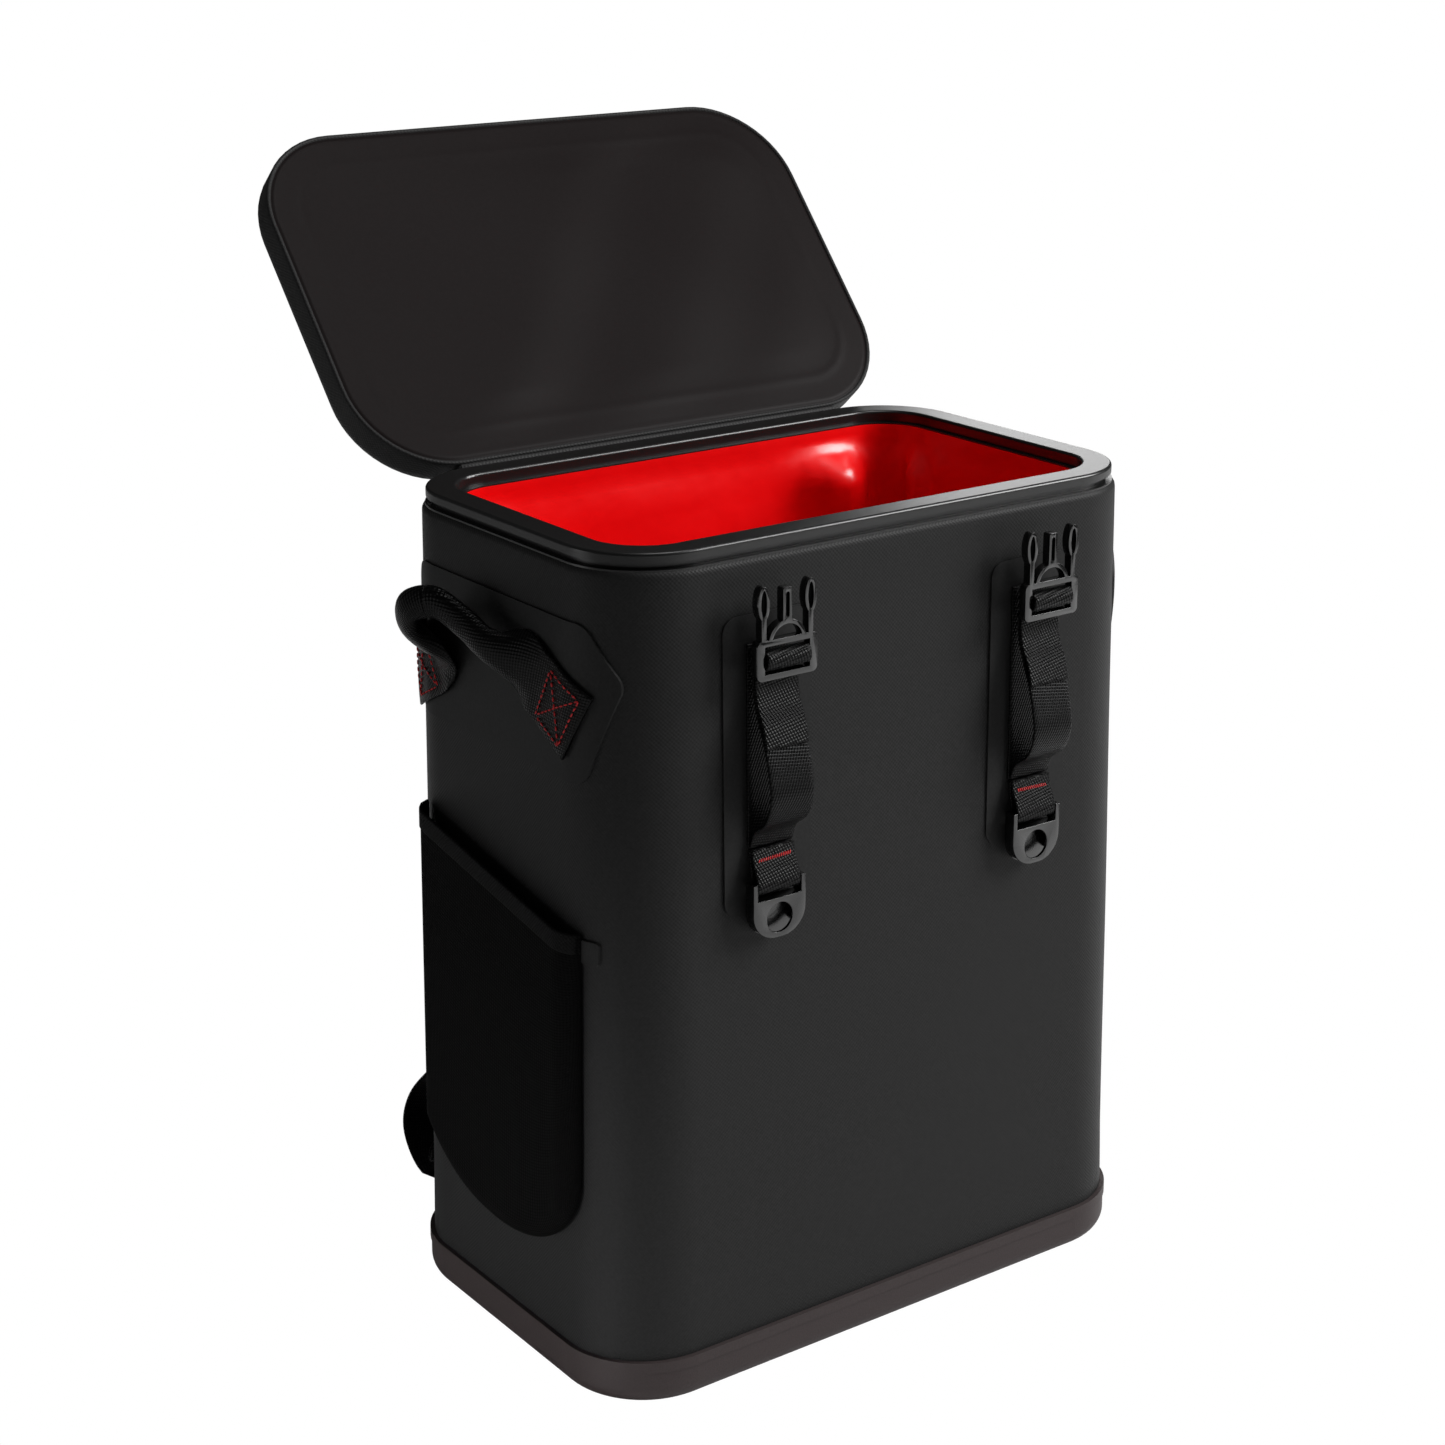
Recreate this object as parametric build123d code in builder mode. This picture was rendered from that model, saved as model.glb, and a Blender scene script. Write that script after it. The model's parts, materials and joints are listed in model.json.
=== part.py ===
# Soft-sided cooler backpack, standing on its base with the lid swung open.
# Millimetres, +Z up, front toward -Y, origin at the middle of the base underside.
# Paired pieces are made on the left, at -X, and mirrored.

import os
from math import cos, radians, sin

from build123d import *

# Tub: a tapered box with round upright corners
base_width = 358.5
base_depth = 221.2
shoulder_width = 341.2
shoulder_depth = 214.4
shoulder_height = 444.0
corner_radius = 47.0
shell_wall = 1.5
foam_wall = 18.0
foam_floor = 22.0
liner_wall = 1.0
boot_height = 26.0
boot_floor = 3.0
boot_wall = 1.8
boot_edge_radius = 10.0
shell_edge_radius = 8.0
boot_lip_height = 6.0
boot_lip_proud = 0.7
seat_gap = 0.1  # between two layers that lie on each other
soft_gap = 0.3  # between a soft piece and what it rests against

# Rim collar
collar_step = 2.1  # in from the shoulder's edge
collar_rise = 8.5  # above the shoulder
collar_inset = 16.0  # width of the collar's top face
collar_skirt = 9.0  # below the shoulder
groove_depth = 3.0
groove_height = 3.4
lip_width = 3.0
lip_height = 6.0
lip_drop = 6.6  # top of the inner lip below the collar's top
collar_edge_radius = 1.6

# Lid, worked out as closed and placed on a plane that is turned open
lid_width = 350.0
lid_depth = 211.8
lid_radius = 54.0
lid_thickness = 24.0
lid_wall = 2.4
lid_panel_thickness = 2.0
lid_edge_radius = 10.0
lid_open_angle = 131.2
hinge_rise = 0.6  # hinge line above the collar's top
hinge_set_back = 3.3  # hinge line behind the shoulder's back edge
seal_width = 5.0
seal_height = 1.3
seal_clearance = 2.5
hinge_strip_width = 250.0
hinge_strip_height = 40.0
hinge_strip_thickness = 1.2

# Webbing and buckles
strap_width = 25.0
webbing = 1.4
strap_offset = 85.0  # from the middle plane to each front strap
slot_play = 1.0  # beside the webbing in a buckle's slot, on each side
buckle_thickness = 5.0
ladder_side = 5.5  # frame beside the webbing
ladder_height = 20.0
ladder_bar = 4.0
ladder_rail = 3.0
arch_height = 10.0
arch_width = 22.0
arch_band = 2.2
prong_offset = 14.0
prong_stem = 2.8
prong_stem_length = 14.0
prong_length = 17.0  # of the open oval at the prong's end
prong_width = 7.0
prong_band = 1.9
guide_width = 5.5
guide_length = 17.0
guide_slot = 2.2
guide_radius = 1.2
socket_side = 3.5  # frame beside the webbing
socket_length = 21.0
socket_radius = 14.0
socket_cheek = 4.0  # beside the cavity
socket_thickness = 7.0
socket_cavity = 3.8
socket_bar_radius = 1.6
socket_slot = 6.0  # from the bar's axis to the socket's edge
socket_window_radius = 8.0
bar_clearance = 0.35
latch_bar_height = 397.0
latch_stand_off = 15.0  # ladder bar in front of the shell
latch_tail_height = 352.0
latch_lean = 12.0  # degrees, spread of the strap's legs below the bar
latch_lift = 9.0  # where the strap leaves the daisy chain
# the strap's bow: off the shell, height
latch_bow = [(21, 326), (15.5, 354)]
lower_bar_height = 277.0
lower_stand_off = 7.5
front_patch_width = 53.0
front_patch_low = 262.0
front_patch_high = 416.0
front_patch_radius = 8.0
patch_thickness = 0.9
daisy_low = 296.5
daisy_high = 402.0
lid_tab_length = 36.0
lid_tab_reach = 11.0  # loop in front of the lid's edge

# Side handles
handle_patch_low = 335.0
handle_patch_high = 416.0
handle_patch_tip = 388.0
handle_patch_half = 76.7
handle_patch_tip_half = 94.6
handle_patch_radius = 12.0
handle_webbing = 38.0
handle_webbing_thickness = 1.6
tab_slope = 28.0  # degrees, down and away from the grip
tab_centre = 58.0
tab_height = 371.5
rear_tab_centre = 71.0
rear_tab_height = 362.0
flare_lift = 0.5  # keeps the gathered end off the patch
tab_length = 34.0
grip_width = 17.0
grip_thickness = 9.0
grip_gap = 0.8
grip_end_fold = 0.45  # the folded end against the full grip
grip_stations = 9
# stations of the grip: toward the front, off the wall, height
grip_route = [
    (18, 14, 391),
    (-4, 17, 401),
    (-20, 27, 411),
    (-32, 34, 407),
    (-40, 29, 394),
    (-46, 19, 383),
]

# Side pockets
pocket_half = 74.0
pocket_bottom = 70.0
pocket_round = 50.0
pocket_front_top = 257.0
pocket_rear_top = 284.0
pocket_bulge = 9.0
pocket_wall = 1.2
pocket_edge = 2.0
binding_height = 9.0
binding_proud = 0.5
pocket_tab_width = 10.0
pocket_tab_height = 12.0
pocket_tab_thickness = 1.2
pocket_tab_drop = 2.0  # below the pocket's front top corner
pocket_tab_radius = 1.5

# Carrying harness on the back
pad_width = 190.0
pad_low = 60.0
pad_high = 375.0
pad_radius = 30.0
pad_thickness = 10.0
shoulder_pad_width = 58.0
shoulder_pad_thickness = 12.0
# stations of a shoulder pad: from the middle plane, behind the origin, height
shoulder_route = [
    (62, 114.5, 420),
    (65, 127, 396),
    (72, 143, 330),
    (84, 143, 265),
    (98, 132, 215),
    (104, 126.5, 185),
]
# stations of the lower webbing, below the adjuster: from the middle plane, behind the origin, height
lower_route = [(112, 129, 150), (134, 138, 120), (147, 139, 97), (147, 129, 74)]
lower_anchor_offset = 145.0
lower_anchor_height = 56.0
lower_anchor_width = 36.0
lower_anchor_rise = 26.0
lower_anchor_thickness = 1.6
lower_anchor_radius = 3.0


def half_width(height):
    return base_width / 2 + (shoulder_width - base_width) / 2 * height / shoulder_height


def half_depth(height):
    return base_depth / 2 + (shoulder_depth - base_depth) / 2 * height / shoulder_height


def drawn_in(size, inset):
    # width, depth and corner radius of a rounded rectangle, drawn in all round
    width, depth, radius = size
    return width - 2 * inset, depth - 2 * inset, radius - inset


def tub_block(low, high, grow, edge=0):
    # the tub's tapered outside between two heights, grown or shrunk all round, its bottom edge rounded
    with BuildPart() as block:
        for level in (low, high):
            with BuildSketch(Plane.XY.offset(level)):
                outside = (2 * half_width(level), 2 * half_depth(level), corner_radius)
                RectangleRounded(*drawn_in(outside, -grow))
        loft()
        if edge:
            fillet(block.faces().sort_by(Axis.Z)[0].edges(), edge)
    return block.part


def tub_skin(outline, inner, outer):
    # a layer on the tub's outside, between two distances off it, cut to a prism
    low = outline.bounding_box().min.Z - 1
    high = outline.bounding_box().max.Z + 1
    with BuildPart() as skin:
        add(outline)
        add(tub_block(low, high, outer), mode=Mode.INTERSECT)
        add(tub_block(low - 1, high + 1, inner), mode=Mode.SUBTRACT)
    return skin.part


def finish(name, part):
    part.label = name
    export_step(part, f"parts/{name}.step")


def finish_pair(name, left):
    with BuildPart() as right:
        mirror(left, about=Plane.YZ)
    finish(f"{name}_left", left)
    finish(f"{name}_right", right.part)


def side_prism(sketch):
    # an outline in Y and Z, carried through the left wall only
    with BuildPart() as prism:
        extrude(sketch, amount=-base_width)
    return prism.part


os.makedirs("parts", exist_ok=True)

# Base boot, the tray that the tub stands in
shell_floor = boot_floor + seat_gap
boot_grow = seat_gap + boot_wall
with BuildPart() as base_boot:
    add(tub_block(0, boot_height, boot_grow, boot_edge_radius))
    add(tub_block(boot_height - boot_lip_height, boot_height, boot_grow + boot_lip_proud))
    add(tub_block(boot_floor, boot_height + 1, seat_gap, shell_edge_radius), mode=Mode.SUBTRACT)
finish("base_boot", base_boot.part)

# Outer shell, a coated-fabric cup
shell_inside = shell_floor + shell_wall
inner_edge_radius = shell_edge_radius - shell_wall
with BuildPart() as outer_shell:
    add(tub_block(shell_floor, shoulder_height, 0, shell_edge_radius))
    add(tub_block(shell_inside, shoulder_height + 1, -shell_wall, inner_edge_radius), mode=Mode.SUBTRACT)
finish("outer_shell", outer_shell.part)

# Foam floor and foam wall between the shell and the liner
foam_low = shell_inside + seat_gap
foam_split = foam_low + foam_floor
foam_high = shoulder_height - collar_skirt
foam_grow = -shell_wall - seat_gap
liner_grow = foam_grow - foam_wall - seat_gap
with BuildPart() as floor_foam:
    add(tub_block(foam_low, foam_split, foam_grow, inner_edge_radius))
finish("floor_foam", floor_foam.part)

with BuildPart() as wall_foam:
    add(tub_block(foam_split + seat_gap, foam_high, foam_grow))
    add(tub_block(foam_split, foam_high + 1, foam_grow - foam_wall), mode=Mode.SUBTRACT)
finish("wall_foam", wall_foam.part)

# Inner liner, a welded tub whose top edge tucks under the collar's lip
collar_top = shoulder_height + collar_rise
lip_top = collar_top - lip_drop
lip_low = lip_top - lip_height
liner_low = foam_split + seat_gap
liner_high = lip_low - seat_gap
with BuildPart() as inner_liner:
    add(tub_block(liner_low, liner_high, liner_grow))
    add(tub_block(liner_low + liner_wall, liner_high + 1, liner_grow - liner_wall), mode=Mode.SUBTRACT)
finish("inner_liner", inner_liner.part)

# Rim collar: a skirt inside the shell, a groove, a flat top and an inner lip
collar_seat = shoulder_height + seat_gap
collar = drawn_in((shoulder_width, shoulder_depth, corner_radius), collar_step)
mouth = drawn_in(collar, collar_inset)
with BuildPart() as rim_collar:
    with BuildSketch(Plane.XY.offset(collar_seat + groove_height)):
        RectangleRounded(*collar)
    extrude(amount=collar_top - collar_seat - groove_height)
    with BuildSketch(Plane.XY.offset(collar_top)):
        RectangleRounded(*mouth)
    extrude(amount=-collar_rise, mode=Mode.SUBTRACT)
    fillet(rim_collar.faces().sort_by(Axis.Z)[-1].edges(), collar_edge_radius)
    with BuildSketch(Plane.XY.offset(collar_seat)):
        RectangleRounded(*drawn_in(collar, groove_depth))
        RectangleRounded(*mouth, mode=Mode.SUBTRACT)
    extrude(amount=groove_height)
    add(tub_block(foam_high + seat_gap, collar_seat, foam_grow))
    with BuildSketch(Plane.XY.offset(foam_high)):
        RectangleRounded(*mouth)
    extrude(amount=collar_skirt + 1, mode=Mode.SUBTRACT)
    with BuildSketch(Plane.XY.offset(lip_low)):
        RectangleRounded(*mouth)
        RectangleRounded(*drawn_in(mouth, lip_width), mode=Mode.SUBTRACT)
    extrude(amount=lip_height)
finish("rim_collar", rim_collar.part)

# Lid, drawn closed: local x across, local y from the hinge line, front negative, local z up
hinge_y = half_depth(shoulder_height) + hinge_set_back
hinge_z = collar_top + hinge_rise
lid_plane = Plane(
    origin=(0, hinge_y, hinge_z),
    x_dir=(1, 0, 0),
    z_dir=(0, sin(radians(lid_open_angle)), cos(radians(lid_open_angle))),
)
lid = (lid_width, lid_depth, lid_radius)
lid_middle = -lid_depth / 2
cavity_top = lid_thickness - lid_wall
with BuildPart() as lid_shell:
    with BuildSketch(lid_plane):
        with Locations((0, lid_middle)):
            RectangleRounded(*lid)
    extrude(amount=lid_thickness)
    top_face = lid_shell.faces().sort_by(Axis(lid_plane.origin, lid_plane.z_dir))[-1]
    fillet(top_face.edges(), lid_edge_radius)
    with BuildSketch(lid_plane):
        with Locations((0, lid_middle)):
            RectangleRounded(*drawn_in(lid, lid_wall))
    extrude(amount=lid_thickness - lid_edge_radius, mode=Mode.SUBTRACT)
    with BuildSketch(lid_plane):
        with Locations((0, lid_middle)):
            RectangleRounded(*drawn_in(lid, lid_edge_radius))
    extrude(amount=cavity_top, mode=Mode.SUBTRACT)
finish("lid_shell", lid_shell.part)

lid_inset = lid_wall + seat_gap
foam_inset = lid_edge_radius + seat_gap
with BuildPart() as lid_panel:
    with BuildSketch(lid_plane):
        with Locations((0, lid_middle)):
            RectangleRounded(*drawn_in(lid, lid_inset))
    extrude(amount=lid_panel_thickness)
finish("lid_panel", lid_panel.part)

with BuildPart() as lid_foam:
    with BuildSketch(lid_plane.offset(lid_panel_thickness + seat_gap)):
        with Locations((0, lid_middle)):
            RectangleRounded(*drawn_in(lid, lid_inset))
    extrude(amount=lid_thickness - lid_edge_radius - lid_panel_thickness - 2 * seat_gap)
    with BuildSketch(lid_plane.offset(lid_panel_thickness + seat_gap)):
        with Locations((0, lid_middle)):
            RectangleRounded(*drawn_in(lid, foam_inset))
    extrude(amount=cavity_top - lid_panel_thickness - 2 * seat_gap)
finish("lid_foam", lid_foam.part)

# Seal on the lid's underside, which drops just inside the collar's mouth
with BuildPart() as lid_seal:
    with BuildSketch(lid_plane.offset(-seal_height)):
        with Locations((0, -hinge_y)):
            RectangleRounded(*drawn_in(mouth, seal_clearance))
            RectangleRounded(*drawn_in(mouth, seal_clearance + seal_width), mode=Mode.SUBTRACT)
    extrude(amount=seal_height - seat_gap)
finish("lid_seal", lid_seal.part)

# Hinge strip, a fabric flap welded to the shell's back that reaches the hinge line
strip_off = seat_gap + hinge_strip_thickness / 2
strip_low = shoulder_height - hinge_strip_height
with BuildPart() as hinge_strip:
    with BuildSketch(Plane.YZ.offset(-hinge_strip_width / 2)):
        with BuildLine():
            Polyline(
                (half_depth(strip_low) + strip_off, strip_low),
                (half_depth(shoulder_height) + strip_off, shoulder_height),
                (hinge_y - soft_gap - hinge_strip_thickness / 2, hinge_z - soft_gap),
            )
        trace(line_width=hinge_strip_thickness)
    extrude(amount=hinge_strip_width)
finish("hinge_strip", hinge_strip.part)


def front_prism(width, low, high, radius):
    # a rounded upright outline on the strap's line, carried through the front wall only
    with BuildPart() as prism:
        with BuildSketch(Plane.XZ):
            with Locations((-strap_offset, (low + high) / 2)):
                RectangleRounded(width, high - low, radius)
        extrude(amount=base_depth)
    return prism.part


# Front patches and the webbing sewn flat on them
patch_outer = seat_gap + patch_thickness
patch_prism = front_prism(front_patch_width, front_patch_low, front_patch_high, front_patch_radius)
finish_pair("front_patch", tub_skin(patch_prism, seat_gap, patch_outer))
daisy_prism = front_prism(strap_width, daisy_low, daisy_high, webbing)
daisy_inner = patch_outer + seat_gap
daisy_outer = daisy_inner + webbing
finish_pair("daisy_chain", tub_skin(daisy_prism, daisy_inner, daisy_outer))


def front_y(height, off):
    return -(half_depth(height) + off)


# Latch straps: sewn low on the daisy chain, out in a bow, round the ladder bar, with a hanging tail
latch_y = front_y(latch_bar_height, latch_stand_off)
turn_radius = buckle_thickness / 2 + bar_clearance + webbing
splay = ladder_height * sin(radians(latch_lean)) / 2
sewn_off = daisy_outer + soft_gap + webbing / 2
with BuildPart() as latch_strap:
    with BuildSketch(Plane.YZ.offset(-strap_offset - strap_width / 2)):
        with BuildLine():
            Spline(
                (front_y(daisy_low, sewn_off), daisy_low + 1),
                (front_y(daisy_low, sewn_off + latch_lift / 3), daisy_low + latch_lift),
                *[(front_y(height, off), height) for off, height in latch_bow],
                (latch_y + turn_radius + splay, latch_bar_height - ladder_height / 2),
                (latch_y + turn_radius, latch_bar_height),
                tangents=[(0, 1), (0, 1)],
            )
            ThreePointArc(
                (latch_y + turn_radius, latch_bar_height),
                (latch_y, latch_bar_height + turn_radius),
                (latch_y - turn_radius, latch_bar_height),
            )
            Spline(
                (latch_y - turn_radius, latch_bar_height),
                (latch_y - turn_radius - splay, latch_bar_height - ladder_height / 2),
                (latch_y - turn_radius - splay - 1, latch_tail_height),
                tangents=[(0, -1), (0, -1)],
            )
        trace(line_width=webbing)
    extrude(amount=strap_width)
finish_pair("latch_strap", latch_strap.part)

# Male buckle: ladder lock below, arch, centre guide and two open prongs above
latch_place = (-strap_offset, latch_y, latch_bar_height)
latch_plane = Plane(latch_place, x_dir=(1, 0, 0), z_dir=(0, -1, 0))
ladder_slot = (ladder_height - ladder_bar) / 2 - ladder_rail
slot_centre = ladder_bar / 2 + ladder_slot / 2
slot_width = strap_width + 2 * slot_play
ladder_width = strap_width + 2 * ladder_side
arch_base = ladder_height / 2 - guide_radius
prong_middle = arch_base + prong_stem_length + prong_length / 2 - prong_stem
guide_middle = arch_base + arch_height - arch_band / 2 + guide_length / 2
eye = (prong_width / 2 - prong_band, prong_length / 2 - prong_band)
with BuildPart() as male_buckle:
    with BuildSketch(latch_plane):
        with BuildLine():
            EllipticalCenterArc((0, arch_base), arch_width / 2, arch_height, start_angle=0, arc_size=180)
            Line((-arch_width / 2, arch_base), (arch_width / 2, arch_base))
        make_face()
        with BuildLine():
            inner = (arch_width / 2 - arch_band, arch_height - arch_band)
            EllipticalCenterArc((0, arch_base), *inner, start_angle=0, arc_size=180)
            Line((-inner[0], arch_base), (inner[0], arch_base))
        make_face(mode=Mode.SUBTRACT)
        RectangleRounded(ladder_width, ladder_height, ladder_rail)
        with Locations((0, slot_centre), (0, -slot_centre)):
            Rectangle(slot_width, ladder_slot, mode=Mode.SUBTRACT)
        for side in (-1, 1):
            with Locations((side * prong_offset, arch_base + prong_stem_length / 2)):
                Rectangle(prong_stem, prong_stem_length)
            with Locations((side * prong_offset, prong_middle)):
                Ellipse(prong_width / 2, prong_length / 2)
                Ellipse(*eye, mode=Mode.SUBTRACT)
        with Locations((0, guide_middle)):
            RectangleRounded(guide_width, guide_length, guide_radius)
            SlotOverall(guide_length - 2 * guide_slot, guide_slot, rotation=90, mode=Mode.SUBTRACT)
    extrude(amount=buckle_thickness / 2, both=True)
finish_pair("male_buckle", male_buckle.part)


def socket_buckle(plane):
    # a female buckle hung on its bar: bar along local x, mouth toward local -y, face along local z
    socket_width = strap_width + 2 * socket_side
    body_middle = -socket_slot - socket_length / 2
    with BuildPart() as socket:
        with BuildSketch(plane):
            with Locations((0, body_middle + 2 * socket_slot)):
                RectangleRounded(socket_width, socket_length + 4 * socket_slot, socket_radius)
            Rectangle(slot_width, 2 * socket_slot, mode=Mode.SUBTRACT)
            with Locations((0, 2 * socket_bar_radius + 2 * socket_slot)):
                Rectangle(socket_width, 4 * socket_slot, mode=Mode.SUBTRACT)
        extrude(amount=socket_thickness / 2, both=True)
        with BuildSketch(plane.offset(-socket_cavity / 2)):
            with Locations((0, body_middle - socket_cheek)):
                Rectangle(socket_width - 2 * socket_cheek, socket_length)
        extrude(amount=socket_cavity, mode=Mode.SUBTRACT)
        with BuildSketch(plane):
            with Locations((0, body_middle)):
                Circle(socket_window_radius)
        extrude(amount=socket_thickness, mode=Mode.SUBTRACT)
        with BuildSketch(Plane(plane.origin, x_dir=plane.z_dir, z_dir=plane.x_dir)):
            Circle(socket_bar_radius)
        extrude(amount=slot_width / 2 + slot_play, both=True)
    return socket.part


def bar_loop(plane, run, far):
    # webbing folded round a buckle bar: local y away from the buckle, both legs closing at the far end
    radius = socket_bar_radius + bar_clearance + webbing / 2
    leg = (webbing + seat_gap) / 2
    with BuildPart() as loop:
        start = plane.origin - plane.x_dir * strap_width / 2
        with BuildSketch(Plane(start, x_dir=plane.z_dir, z_dir=-plane.x_dir)):
            with BuildLine():
                Spline((far + leg, run), (radius, 0), tangents=[(0, -1), (0, -1)])
                ThreePointArc((radius, 0), (0, -radius), (-radius, 0))
                Spline((-radius, 0), (far - leg, run), tangents=[(0, 1), (0, 1)])
            trace(line_width=webbing)
        extrude(amount=-strap_width)
    return loop.part


# Lower female buckles, hanging below the daisy chains
lower_y = front_y(lower_bar_height, lower_stand_off)
lower_place = (-strap_offset, lower_y, lower_bar_height)
lower_plane = Plane(lower_place, x_dir=(1, 0, 0), z_dir=(0, -1, 0))
lower_run = daisy_low - lower_bar_height - soft_gap
finish_pair("lower_buckle", socket_buckle(lower_plane))
finish_pair("lower_tab", bar_loop(lower_plane, lower_run, -lower_stand_off / 2))

# Tabs and female buckles on the lid's front edge, hanging behind the open lid
tab_y = -lid_depth - lid_tab_reach
tab_z = lid_thickness + webbing / 2 + soft_gap
lid_bar = lid_plane.from_local_coords(Vector(-strap_offset, tab_y, tab_z))
hang_plane = Plane(origin=lid_bar, x_dir=(1, 0, 0), z_dir=(0, -1, 0))
finish_pair("lid_buckle", socket_buckle(hang_plane))
loop_radius = socket_bar_radius + bar_clearance + webbing / 2
with BuildPart() as lid_tab:
    tab_start = lid_plane.from_local_coords(Vector(-strap_offset - strap_width / 2, 0, 0))
    with BuildSketch(Plane(tab_start, x_dir=-lid_plane.y_dir, z_dir=-lid_plane.x_dir)):
        with BuildLine():
            Line((lid_depth - lid_tab_length, tab_z), (lid_depth + lid_tab_reach - loop_radius, tab_z))
        trace(line_width=webbing)
        with Locations((lid_depth + lid_tab_reach, tab_z)):
            Circle(loop_radius + webbing / 2)
            Circle(loop_radius - webbing / 2, mode=Mode.SUBTRACT)
    extrude(amount=-strap_width)
finish_pair("lid_tab", lid_tab.part)

# Side handle patches, six-sided, wrapping a little round the corners
with BuildSketch(Plane.YZ) as handle_outline:
    Polygon(
        (-handle_patch_half, handle_patch_high),
        (-handle_patch_tip_half, handle_patch_tip),
        (-handle_patch_half, handle_patch_low),
        (handle_patch_half, handle_patch_low),
        (handle_patch_tip_half, handle_patch_tip),
        (handle_patch_half, handle_patch_high),
        align=None,
    )
    fillet(handle_outline.vertices(), handle_patch_radius)
handle_patch = tub_skin(side_prism(handle_outline.sketch), seat_gap, patch_outer)
finish_pair("handle_patch", handle_patch)


def wall_point(toward_front, off, height):
    # a point off the left wall
    return Vector(-(half_width(height) + off), -toward_front, height)


# Grip: webbing folded to a soft rope, bowed off the wall
grip_points = [wall_point(*station) for station in grip_route]
grip_line = Spline(*grip_points, mode=Mode.PRIVATE)
with BuildPart() as handle_grip:
    for index in range(grip_stations):
        share = index / (grip_stations - 1)
        along = grip_line.tangent_at(share)
        outward = Vector(-1, 0, 0)
        across = along.cross(outward).normalized()
        with BuildSketch(Plane(grip_line.position_at(share), x_dir=across, z_dir=along)):
            fold = grip_end_fold if index in (0, grip_stations - 1) else 1
            RectangleRounded(fold * grip_width, fold * grip_thickness, fold * grip_thickness / 2.5)
    loft()
finish_pair("handle_grip", handle_grip.part)

# Handle tabs: flat on the patch, then gathered up to the end of the grip
tab_inner = patch_outer + seat_gap
tab_outer = tab_inner + handle_webbing_thickness


def handle_tab(toward_front, height, share, forward):
    # one sewn end; forward is +1 for the front tab and -1 for the rear one
    with BuildSketch(Plane.YZ) as outline:
        with Locations(Location((-toward_front, height), forward * tab_slope)):
            Rectangle(tab_length, handle_webbing)
    flat = tub_skin(side_prism(outline.sketch), tab_inner, tab_outer)
    slope = radians(tab_slope)
    inner_end = toward_front - forward * tab_length / 2 * cos(slope)
    inner_height = height + tab_length / 2 * sin(slope)
    root = wall_point(inner_end, (tab_inner + tab_outer) / 2 + flare_lift, inner_height)
    along = Vector(0, forward * cos(slope), sin(slope))
    grip_end = grip_line.position_at(share)
    end_along = grip_line.tangent_at(share) * (1 if forward > 0 else -1)
    tip = grip_end - end_along * grip_gap
    with BuildPart() as tab:
        add(flat)
        for place, direction, wide, thick in (
            (root - along, along, handle_webbing, handle_webbing_thickness),
            (tip, end_along, grip_end_fold * grip_width, grip_end_fold * grip_thickness),
        ):
            across = direction.cross(Vector(-1, 0, 0)).normalized()
            with BuildSketch(Plane(place, x_dir=across, z_dir=direction)):
                RectangleRounded(wide, thick, thick / 2.5)
        loft()
    return tab.part


finish_pair("handle_front_tab", handle_tab(tab_centre, tab_height, 0, 1))
finish_pair("handle_rear_tab", handle_tab(-rear_tab_centre, rear_tab_height, 1, -1))


def pocket_top(along):
    # height of the slanted top edge at a place along the wall, rear positive
    rise = (pocket_rear_top - pocket_front_top) / 2
    return pocket_front_top + rise * (1 + along / pocket_half)


def pocket_prism(inset, top_low, top_high):
    # the pocket's outline, drawn in from its edge, between two distances from its slanted top
    half = pocket_half - inset
    turn = pocket_bottom + pocket_round
    with BuildSketch(Plane.YZ) as outline:
        with BuildLine():
            Polyline(
                (-half, turn),
                (-half, pocket_top(-half) + top_high),
                (half, pocket_top(half) + top_high),
                (half, turn),
            )
            EllipticalCenterArc((0, turn), half, pocket_round - inset, start_angle=180, arc_size=180)
        make_face()
        if top_low is not None:
            with BuildLine():
                wide = half + 1
                Polyline(
                    (-wide, 0),
                    (-wide, pocket_top(-wide) + top_low),
                    (wide, pocket_top(wide) + top_low),
                    (wide, 0),
                    close=True,
                )
            make_face(mode=Mode.SUBTRACT)
    return side_prism(outline.sketch)


# Mesh pockets: a panel that stands off the wall, closed at its sides and bottom
with BuildPart() as mesh_pocket:
    add(tub_skin(pocket_prism(0, None, -binding_height - seat_gap), soft_gap, pocket_bulge))
    add(tub_skin(pocket_prism(pocket_edge, None, 0), 0, pocket_bulge - pocket_wall), mode=Mode.SUBTRACT)
finish_pair("mesh_pocket", mesh_pocket.part)

with BuildPart() as pocket_binding:
    add(tub_skin(pocket_prism(0, -binding_height, 0), soft_gap, pocket_bulge + binding_proud))
    add(tub_skin(pocket_prism(pocket_edge, None, 1), 0, pocket_bulge - pocket_wall - binding_proud),
        mode=Mode.SUBTRACT)
finish_pair("pocket_binding", pocket_binding.part)

pocket_tab_y = -pocket_half - soft_gap - pocket_tab_width / 2
pocket_tab_z = pocket_front_top - pocket_tab_drop - pocket_tab_height / 2
with BuildSketch(Plane.YZ) as pocket_tab_outline:
    with Locations((pocket_tab_y, pocket_tab_z)):
        RectangleRounded(pocket_tab_width, pocket_tab_height, pocket_tab_radius)
pocket_tab = tub_skin(side_prism(pocket_tab_outline.sketch), seat_gap, seat_gap + pocket_tab_thickness)
finish_pair("pocket_tab", pocket_tab)


def back_prism(sketch):
    # an outline in X and Z, carried through the back wall only
    with BuildPart() as prism:
        extrude(sketch, amount=-base_depth)
    return prism.part


# Back pad between the shoulder straps
with BuildSketch(Plane.XZ) as pad_outline:
    with Locations((0, (pad_low + pad_high) / 2)):
        RectangleRounded(pad_width, pad_high - pad_low, pad_radius)
back_pad = tub_skin(back_prism(pad_outline.sketch), soft_gap, pad_thickness)
finish("back_pad", back_pad)

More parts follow.
